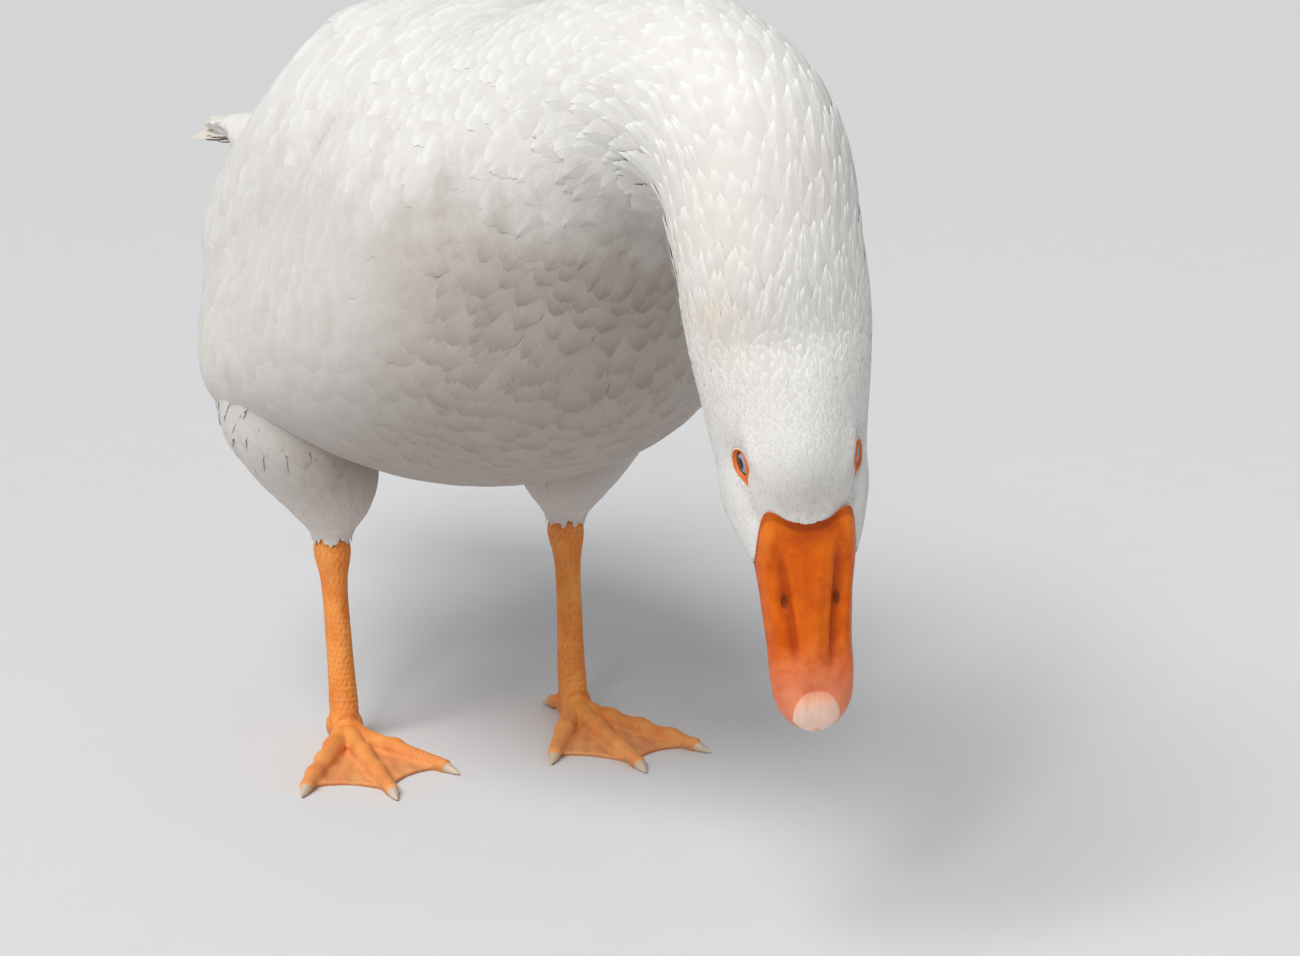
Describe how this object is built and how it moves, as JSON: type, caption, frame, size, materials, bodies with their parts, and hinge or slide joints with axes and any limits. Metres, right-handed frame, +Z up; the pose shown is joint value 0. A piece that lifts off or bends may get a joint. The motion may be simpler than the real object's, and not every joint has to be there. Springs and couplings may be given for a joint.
{
  "type": "domestic goose",
  "caption": "White domestic goose, life size, standing on its webbed feet with its neck arched forward and down and its orange bill pointing at the ground; a still model.",
  "frame": {"origin": "on the floor under the middle of the goose's bounding box", "axes": "+Z up, the goose faces -Y with its tail towards +Y, and its left side is +X"},
  "size_m": [0.2158, 0.7236, 0.3697],
  "materials": {
    "plumage": "dense white body feathers, soft and matt, with a warm cream stain on the neck and a grey-brown tinge on the belly",
    "bill": "smooth orange horn with fine streaks along it and a soft wet sheen",
    "nail": "pale pinkish horn shield at the tip of the bill",
    "eye": "blue iris with a black pupil under a clear glossy cornea",
    "leg": "orange scaled skin with webs between the front toes",
    "claw": "pale horn"
  },
  "bodies": {
    "root": {"tail": "plumage", "trunk": "plumage", "neck_base": "plumage", "neck_arch": "plumage", "neck_upper": "plumage", "head": "plumage", "wing_left": "plumage", "flight_feathers_left": "plumage", "wing_right": "plumage", "flight_feathers_right": "plumage", "thigh_left": "plumage", "thigh_right": "plumage", "bill_upper": "bill", "bill_lower": "bill", "bill_nail": "nail", "eye_left": "eye", "eye_right": "eye", "shank_left": "leg", "foot_left": "leg", "shank_right": "leg", "foot_right": "leg", "claw_left_outer": "claw", "claw_left_middle": "claw", "claw_left_inner": "claw", "claw_left_hind": "claw", "claw_right_outer": "claw", "claw_right_middle": "claw", "claw_right_inner": "claw", "claw_right_hind": "claw"}
  },
  "joints": []
}
